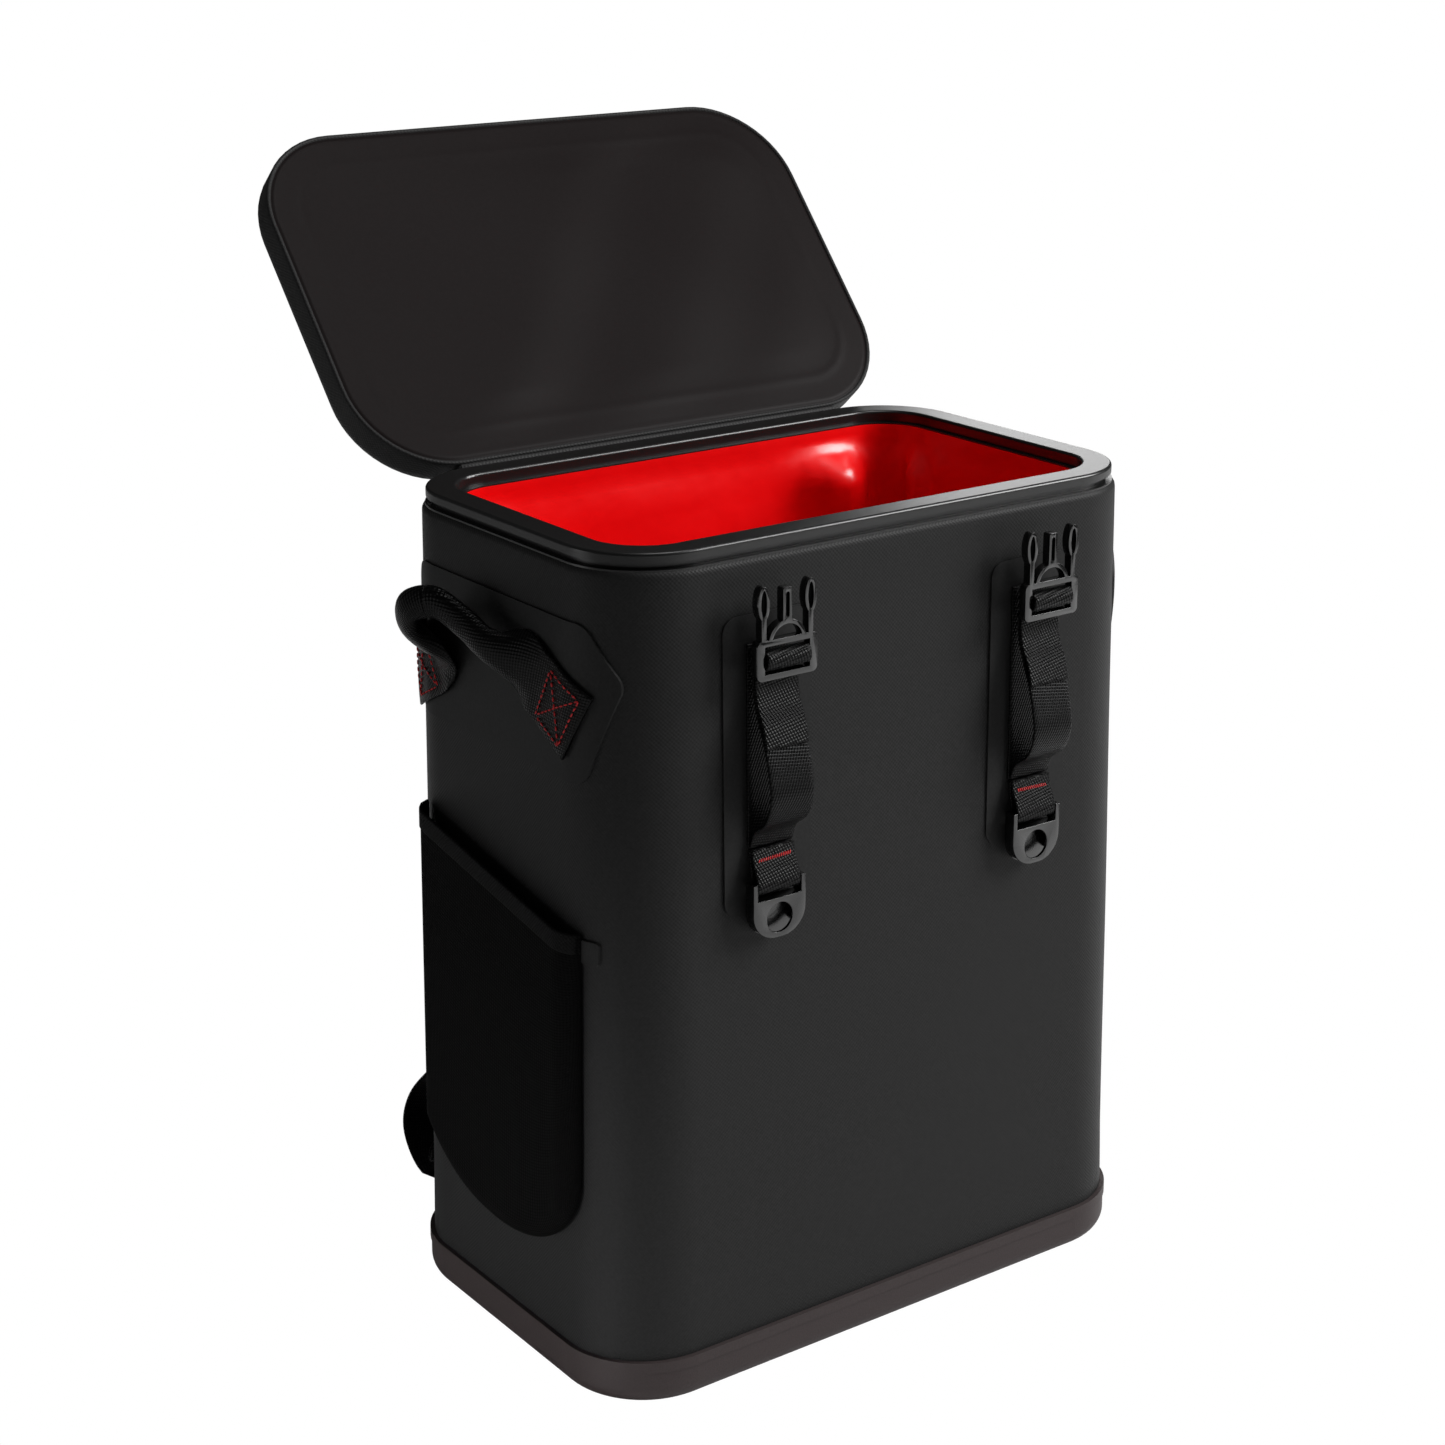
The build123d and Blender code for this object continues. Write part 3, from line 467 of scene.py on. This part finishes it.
tabRoute = [(halfDepth(296) + 4.7, 296.2), (halfDepth(290) + 6.2, 290), (lowBar + 1.9, 282.5),
            (lowBar + 2.65, 277), (lowBar + 1.9, 275.1), (lowBar, 274.3), (lowBar - 1.9, 275.1),
            (lowBar - 2.65, 277), (lowBar - 2.6, 282.5), (halfDepth(290) + 3.6, 290),
            (halfDepth(296) + 3.1, 296.2)]
lidRoute = [(-175.8, 25.0), (-190, 25.0), (-205, 25.0), (-214, 25.2), (-219, 26.6), (-222.8, 27.65),
            (-225.0, 26.6), (-225.4, 25.0), (-224.4, 23.2), (-222.8, 22.4), (-220.9, 23.1), (-219.8, 24.0)]


def frontRibbon(route, count):  # a strip that stands square to the front
    flat = smooth(route, count)
    path = np.stack([np.full(count, -web["x"]), -flat[:, 0], flat[:, 1]], 1)
    return bandSurf(path, leftWay, web["width"], 11)


flatZ = np.linspace(daisy["low"], daisy["high"], 40)
daisySurf = bandSurf(frontPoint(-web["x"], daisy["off"], flatZ), leftWay, web["width"], 11)
lidFlat = smooth(lidRoute, 60)
lidPath = np.stack([np.full(60, -web["x"]), lidFlat[:, 0], lidFlat[:, 1]], 1)
lidSurf = lidPlace(bandSurf(lidPath, leftWay, web["width"], 9))
lower = {"edgeOn": (0.6, 0.77, -0.3), "from": 0.15, "to": 0.75,
         "route": [(104, 126.5, 164.3), (106, 127, 158), (113, 129.5, 141), (130, 138, 106), (146, 141, 78),
                   (149, 136, 56), (147.5, 125, 45), (145.5, 115.5, 47), (145, 113.2, 56)]}
lowPath = smooth(lower["route"], 80) * np.array([-1, 1, 1])
along = unit(np.gradient(lowPath, axis=0))
flatWay = unit(np.cross(along, np.array([0, 1.0, 0])))
edgeWay = np.array(lower["edgeOn"]) - along * (along @ np.array(lower["edgeOn"]))[:, None]
turn = ramp(np.linspace(0, 1, 80) - lower["from"], lower["to"] - lower["from"])
turn = (np.sin(math.pi * turn) ** 2)[:, None]  # the slack webbing twists on edge and back between its two ends
lowSurf = bandSurf(lowPath, unit(flatWay * (1 - turn) + unit(edgeWay) * turn), web["width"], 9)
straps = (("daisyWebbing", daisySurf, "tub", "daisy_chain"),
          ("latchWebbing", frontRibbon(latchRoute, 150), "tub", "latch_strap"),
          ("lowerLoop", frontRibbon(tabRoute, 60), "tub", "lower_tab"),
          ("lidLoop", lidSurf, "lid", "lid_tab"),
          ("shoulderWebbing", lowSurf, "tub", "lower_webbing"))
for sideName, turned in (("left", lambda a: a), ("right", mirrored)):
    for name, surf, body, node in straps:
        made = clothMesh(f"{name}.{sideName}", turned(surf), web["thick"])
        dress(made, webbingFabric, body, [f"{node}_{sideName}"])
print("webbing made")

# Side handles: one 38 mm webbing, flat at its sewn tabs and curled to a rope in the grip
# route points are distance along the wall, distance off it and height; curl runs in and out over the ramp
handle = {"width": 38.0, "thick": 1.6, "squash": (1.12, 0.72), "curl": 2.75, "ramp": (-58, -38, 4, 46),
          "cols": 25, "sewn": 40, "cut": 100, "frontBend": (34, 52), "rearBend": (-36, -50)}
handleRoute = [(73, 2.7, 363.5), (58, 2.7, 371.5), (44, 2.9, 379), (33, 7, 385), (18, 13, 391),
               (-4, 16, 401), (-20, 25, 410), (-32, 31, 406), (-40, 27, 394), (-46, 18, 383),
               (-51, 8.5, 376.5), (-57, 2.9, 369.5), (-71, 2.7, 362), (-86, 2.7, 354)]
steps = smooth(handleRoute, 190)
path = sidePoint(steps[:, 0], steps[:, 1], steps[:, 2])
share = np.interp(steps[:, 0], handle["ramp"], [0, 1, 1, 0])
share = share * share * (3 - 2 * share)
along = unit(np.gradient(path, axis=0))
wallNormal = unit(sidePoint(steps[:, 0], 40, steps[:, 2]) - sidePoint(steps[:, 0], 0, steps[:, 2]))
side = unit(np.cross(wallNormal, along))
face = unit(np.cross(along, side))
# across the strip: an arc whose length stays the width, bent by the curl and pressed flatter as it rolls
curl = np.maximum(handle["curl"] * share, 0.01)
lift = handle["width"] / 2 / handle["curl"]  # keeps the rolled rope centred on its route
reach = (handle["width"] / 2 / curl)[:, None]
angle = np.linspace(-1, 1, handle["cols"])[None, :] * curl[:, None]
stretch = (1 + (handle["squash"][0] - 1) * share)[:, None]
press = (1 + (handle["squash"][1] - 1) * share)[:, None]
handleSurf = (path[:, None] + side[:, None] * (reach * np.sin(angle) * stretch)[..., None]
              - face[:, None] * ((reach * (1 - np.cos(angle)) - lift * share[:, None] ** 2) * press)[..., None])
for rows in (slice(0, handle["sewn"]), slice(-handle["sewn"], None)):  # the sewn ends follow the wall's curve
    u = np.linspace(-handle["width"] / 2, handle["width"] / 2, handle["cols"])[None, :]
    near = steps[rows]
    slope = unit(np.gradient(near[:, [0, 2]], axis=0))
    flat = sidePoint(near[:, :1] - u * slope[:, 1:], near[:, 1:2], near[:, 2:] + u * slope[:, :1])
    weight = np.clip(1 - 12 * share[rows], 0, 1)[:, None, None]
    handleSurf[rows] = handleSurf[rows] * (1 - weight) + flat * weight
cut = handle["cut"]
pieces = (("handleFront", handleSurf[:cut + 1], ["handle_front_tab", "handle_grip"], handle["frontBend"]),
          ("handleRear", handleSurf[cut:], ["handle_rear_tab"], handle["rearBend"]))
for sideName, sign in (("left", 1), ("right", -1)):
    for name, surf, nodes, bend in pieces:
        turned = surf[:, ::-1] if sign > 0 else mirrored(surf[:, ::-1])
        made = clothMesh(f"{name}.{sideName}", turned, handle["thick"])
        flip = np.array([sign, 1, 1]) * mm
        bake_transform(made)
        dress(made, webbingFabric, None, [f"{n}_{sideName}" for n in nodes])
print("handles made")


def stitchMesh(name, starts, ends, normals, thick):
    # each stitch is a small ellipsoid: a ring of points swelling along its length
    starts, ends, normals = (np.asarray(a, float) for a in (starts, ends, normals))
    along = ends - starts
    across = unit(np.cross(along, normals))
    rows, around = np.radians([12, 50, 90, 130, 168]), np.radians(np.arange(0, 360, 60))
    middle = (starts + ends) / 2
    ring = (middle[:, None, None] - along[:, None, None] / 2 * np.cos(rows)[None, :, None, None]
            + (across[:, None, None] * np.cos(around)[None, None, :, None]
               + unit(normals)[:, None, None] * np.sin(around)[None, None, :, None])
            * (thick / 2 * np.sin(rows))[None, :, None, None])
    count, n, m = ring.shape[:3]
    index = np.arange(count * n * m).reshape(count, n, m)
    index = np.concatenate([index, index[:, :, :1]], 2)
    quads = np.stack([index[:, :-1, :-1], index[:, :-1, 1:], index[:, 1:, 1:], index[:, 1:, :-1]], -1)
    caps = index[:, 0, :-1][:, ::-1].tolist() + index[:, -1, :-1].tolist()
    mesh = bpy.data.meshes.new(name)
    mesh.from_pydata((ring.reshape(-1, 3) * mm).tolist(), [], quads.reshape(-1, 4).tolist() + caps)
    mesh.polygons.foreach_set("use_smooth", [True] * len(mesh.polygons))
    made = bpy.data.objects.new(name, mesh)
    bpy.context.scene.collection.objects.link(made)
    return made


# Red thread: a box with a cross on each handle tab, and a bar tack on each front loop
thread = {"pitch": 3.6, "dash": 2.7, "thick": 1.0, "boxLong": 23.0, "boxWide": 30.0, "off": 3.7,
          "tackHalf": 9.5, "tackCount": 15, "tackHeight": 291.0, "tackOff": 6.55}
tabs = {"front": (58.0, 371.0, 28.0, 1), "rear": (-71.0, 361.5, 28.0, -1)}  # along, height, slope, way
starts, ends, normals = [], [], []
for s0, z0, slope, way in tabs.values():
    a = math.radians(slope)
    corners = [(p * thread["boxLong"] / 2, q * thread["boxWide"] / 2)
               for p, q in ((1, 1), (1, -1), (-1, -1), (-1, 1))]
    for i, j in ((0, 1), (1, 2), (2, 3), (3, 0), (0, 2), (1, 3)):
        first, last = np.array(corners[i]), np.array(corners[j])
        long = np.linalg.norm(last - first)
        for begin in np.arange(0.4, long - thread["dash"] * 0.8, thread["pitch"]):
            points = []
            for at in (begin, begin + thread["dash"]):
                p, q = first + (last - first) * at / long
                points.append((s0 + way * (p * math.cos(a) + q * math.sin(a)),
                               z0 - p * math.sin(a) + q * math.cos(a)))
            starts.append(sidePoint(points[0][0], thread["off"], points[0][1]))
            ends.append(sidePoint(points[1][0], thread["off"], points[1][1]))
            normals.append(sidePoint(points[0][0], 40, points[0][1]) - sidePoint(points[0][0], 0, points[0][1]))
for t in np.linspace(-thread["tackHalf"], thread["tackHalf"], thread["tackCount"]):
    low = frontPoint(-web["x"] + t - 0.5, thread["tackOff"], thread["tackHeight"] - 1.0 + 0.04 * t)
    starts.append(low)
    ends.append(low + np.array([1.0, 0.25, 2.2]))  # a slanted stitch
    normals.append(np.array([0, -1.0, 0]))
for sideName, sign in (("left", 1), ("right", -1)):
    flip = np.array([sign, 1, 1])
    made = stitchMesh(f"redStitches.{sideName}", np.array(starts) * flip, np.array(ends) * flip,
                      np.array(normals) * flip, thread["thick"])
    dress(made, redThread, "tub", [])
print("stitches made")

# Side pockets: stretch net held off the wall, with an elastic binding along the slanted top
pocket = {"half": 74.0, "low": 70.0, "round": 50.0, "front": 257.0, "rear": 284.0, "bulge": 8.4, "edge": 9,
          "thick": 1.2, "bind": 9.0, "bindThick": 1.9}


def pocketTop(s):  # s is positive toward the front
    return pocket["front"] + (pocket["rear"] - pocket["front"]) * (1 - s / pocket["half"]) / 2


across = np.sin(np.linspace(-math.pi / 2, math.pi / 2, 49))
rise = np.linspace(0, 1, 60)[:, None]
# the net has a half-ellipse foot and straight sides, and stands off the wall quickly from its edge
foot = pocket["low"] + pocket["round"] * (1 - np.sqrt(np.maximum(1 - across**2, 0)))
s = np.broadcast_to(across * pocket["half"], (60, 49))
z = foot[None, :] + (pocketTop(s) - 1.0 - foot[None, :]) * rise
fromEdge = np.minimum((1 - np.abs(across[None, :])) * pocket["half"], (z - foot[None, :]) * 0.8 + 0.4)
off = 1.0 + (pocket["bulge"] - 1.0) * ramp(np.maximum(fromEdge, 0), pocket["edge"]) ** 0.5
netSurf = sidePoint(s, off, z)
bindS = np.linspace(-pocket["half"], pocket["half"], 60)
bindOff = 1.3 + (pocket["bulge"] - 1.0) * ramp(pocket["half"] - np.abs(bindS), pocket["edge"]) ** 0.5
bindRise = np.linspace(-pocket["bind"], 0, 7)
bindSurf = sidePoint(bindS[:, None], bindOff[:, None], pocketTop(bindS)[:, None] + bindRise)
for sideName, turned in (("left", lambda a: a), ("right", mirrored)):
    net = clothMesh(f"pocketNet.{sideName}", turned(netSurf), pocket["thick"])
    dress(net, pocketMesh, "tub", [f"mesh_pocket_{sideName}"])
    bind = clothMesh(f"pocketBinding.{sideName}", turned(bindSurf), pocket["bindThick"])
    dress(bind, elastic, "tub", [f"pocket_binding_{sideName}"])
print("pockets made")

# Pads: foam in fabric, thin at the sewn edge and pressed into channels
pad = {"half": 95.0, "low": 60.0, "high": 375.0, "round": 30.0, "thick": 10.0, "soft": 14, "gap": 0.3,
       "channels": (135, 217, 300), "channelHalf": 4, "channelShare": 0.45, "edge": 1.2}
z = np.linspace(pad["low"], pad["high"], 90)
inEnd = np.maximum(pad["round"] - np.minimum(z - pad["low"], pad["high"] - z), 0)
half = pad["half"] - pad["round"] + np.sqrt(np.maximum(pad["round"] ** 2 - inEnd**2, 0))
u = np.linspace(-1, 1, 61)
ends = ramp(np.minimum(z - pad["low"], pad["high"] - z), pad["soft"])
# crown: quarter circle at the ends, times a sixth-power arch across, thinned by a bell at each channel
body = np.sqrt(np.clip(1 - (1 - ends) ** 2, 0, 1))[:, None] * np.sqrt(1 - np.abs(u[None, :]) ** 6)
for level in pad["channels"]:
    body = body * (1 - pad["channelShare"] * bell(z, level, pad["channelHalf"]))[:, None]
thick = np.maximum(pad["thick"] * body, pad["edge"])
x = half[:, None] * u[None, :]
y = (halfDepth(z)[:, None] + pad["gap"] + thick / 2) + 0 * x
padSurf = np.stack([x, y, np.broadcast_to(z[:, None], x.shape)], -1)
made = clothMesh("backPad", padSurf[:, ::-1], thick)
dress(made, padFabric, "tub", ["back_pad"])

# Shoulder pads: a band along its route, arched across, with a stitched line near each long edge
strap = {"width": 58.0, "thick": 12.0, "edge": 1.4, "seam": 0.78, "seamHalf": 0.06, "seamShare": 0.35,
         "route": [(62, 114.5, 420), (65, 127, 396), (72, 143, 330), (84, 143, 265), (98, 132, 215),
                   (104, 126.5, 185)]}
run = smooth(strap["route"], 110)
path = np.stack([-run[:, 0], run[:, 1], run[:, 2]], 1)
sideways = unit(np.cross(np.gradient(path, axis=0), np.array([0, 1.0, 0])))
u = np.linspace(-1, 1, 33)
taper = np.interp(np.linspace(0, 1, 110), [0, 0.03, 0.95, 1], [0.55, 1, 1, 0.6])[:, None]
seam = strap["seamShare"] * bell(np.abs(u), strap["seam"], strap["seamHalf"])
crown = np.sqrt(1 - np.abs(u) ** 5) * (1 - seam)
thick = np.maximum(strap["thick"] * taper * crown[None, :], strap["edge"])
strapSurf = path[:, None] + sideways[:, None] * (u * ((strap["width"] - strap["edge"]) / 2))[None, :, None]
for sideName, turned in (("left", lambda a: a), ("right", mirrored)):
    made = clothMesh(f"shoulderPad.{sideName}", turned(strapSurf), thick)
    dress(made, padFabric, "tub", [f"shoulder_pad_{sideName}"])
print("pads made")


def bevelledCopy(name, node, width):  # the moulded part with its edges rounded, standing for its plain node
    source = frame["nodes"][node]
    made = bpy.data.objects.new(name, source.data.copy())
    bpy.context.scene.collection.objects.link(made)
    work = bmesh.new()
    work.from_mesh(made.data)
    bmesh.ops.remove_doubles(work, verts=work.verts[:], dist=2e-6)
    bmesh.ops.dissolve_limit(work, angle_limit=0.02, verts=work.verts[:], edges=work.edges[:])
    for item in work.faces:
        item.smooth = True
    work.to_mesh(made.data)
    work.free()
    bevel = made.modifiers.new("roundEdges", "BEVEL")
    bevel.width, bevel.segments, bevel.limit_method, bevel.angle_limit = width * mm, 2, "ANGLE", 0.6
    bevel.harden_normals = True
    dress(made, bucklePlastic, source["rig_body"], [node])


mouldings = {"male_buckle": 0.7, "lower_buckle": 0.9, "lid_buckle": 0.9, "adjuster": 0.6}  # bevel widths
for node, width in mouldings.items():
    for sideName in ("left", "right"):
        bevelledCopy(f"{node}Moulding.{sideName}", f"{node}_{sideName}", width)
plain = {"base_boot": bootPlastic, "rim_collar": collarPlastic, "floor_foam": foamWhite, "wall_foam": foamWhite,
         "lid_foam": foamWhite}
for part in ("front_patch", "handle_patch", "pocket_tab", "lower_anchor"):
    plain[f"{part}_left"] = plain[f"{part}_right"] = patchFabric
for node, mat in plain.items():
    frame["nodes"][node].data.materials.clear()
    frame["nodes"][node].data.materials.append(mat)
print("buckles and plain parts dressed")

# Studio: a floor that the camera sees as white, a large soft key from the front right, four weak lamps
floorMat, tree, shader = newMaterial("white_floor", "e8e8e8", 0.9)
paths = addNode(tree, "ShaderNodeLightPath", {}, {})
glow = addNode(tree, "ShaderNodeEmission", {}, {"Color": (1, 1, 1, 1), "Strength": 1.0})
mix = addNode(tree, "ShaderNodeMixShader", {}, {0: paths.outputs["Is Camera Ray"], 1: shader.outputs[0],
                                                2: glow.outputs[0]})
tree.links.new(mix.outputs[0], tree.nodes["Material Output"].inputs["Surface"])
ground = {"half": 6, "below": 0.0005}
mesh = bpy.data.meshes.new("floor")
mesh.from_pydata([(x * ground["half"], y * ground["half"], -ground["below"])
                  for x, y in ((-1, -1), (1, -1), (1, 1), (-1, 1))], [], [(0, 1, 2, 3)])
floor = bpy.data.objects.new("floor", mesh)
bpy.context.scene.collection.objects.link(floor)
floor.data.materials.append(floorMat)

world = bpy.data.worlds.new("studio")
bpy.context.scene.world = world
world.use_nodes = True
tree = world.node_tree
paths = addNode(tree, "ShaderNodeLightPath", {}, {})
ambient = 0.06  # the world's own light; the camera sees it as 1
fill = addNode(tree, "ShaderNodeMath", {"operation": "MULTIPLY_ADD"},
               {0: paths.outputs["Is Camera Ray"], 1: 1 - ambient, 2: ambient})
tree.nodes["Background"].inputs["Color"].default_value = (1, 1, 1, 1)
tree.links.new(fill.outputs[0], tree.nodes["Background"].inputs["Strength"])

lamps = {  # place, aim, size, power, spread
    "key": ((2.0, -1.5, 1.9), (0, 0, 0.3), 1.4, 105, math.pi),
    "top": ((0.3, -0.3, 2.4), (0, 0, 0.3), 1.0, 14, math.pi),
    "left": ((-1.9, 0.9, 0.25), (0, 0, 0.3), 0.8, 3, math.pi),
    "low": ((-1.6, -0.3, 0.1), (-0.15, 0, -0.02), 0.4, 0.28, 0.25),
    "rim": ((1.45, 1.25, 0.85), (0, 0, 0.3), 0.5, 2.5, math.pi),
}
for name, (place, aim, size, power, spread) in lamps.items():
    lamp = bpy.data.lights.new(name, "AREA")
    lamp.size, lamp.energy, lamp.spread = size, power, spread
    made = bpy.data.objects.new(name, lamp)
    made.location = place
    made.rotation_euler = (Vector(aim) - Vector(place)).to_track_quat("-Z", "Y").to_euler()
    bpy.context.scene.collection.objects.link(made)

# Camera: fitted to the photo
view = {"lens": 68.51, "sensor": 36.0, "far": 50, "place": (-0.84654, -1.12951, 0.78608),
        "right": (0.810892, -0.585183, -0.003972), "up": (0.188932, 0.255368, 0.948205)}
lens = bpy.data.cameras.new("photoCamera")
lens.lens, lens.sensor_width, lens.clip_end = view["lens"], view["sensor"], view["far"]
camera = bpy.data.objects.new("photoCamera", lens)
right, up = Vector(view["right"]), Vector(view["up"])
turn = Matrix((right, up, right.cross(up))).transposed()
camera.matrix_world = Matrix.Translation(view["place"]) @ turn.to_4x4()
bpy.context.scene.collection.objects.link(camera)
bpy.context.scene.camera = camera
bpy.context.scene.view_settings.view_transform = "Standard"
print("studio made")
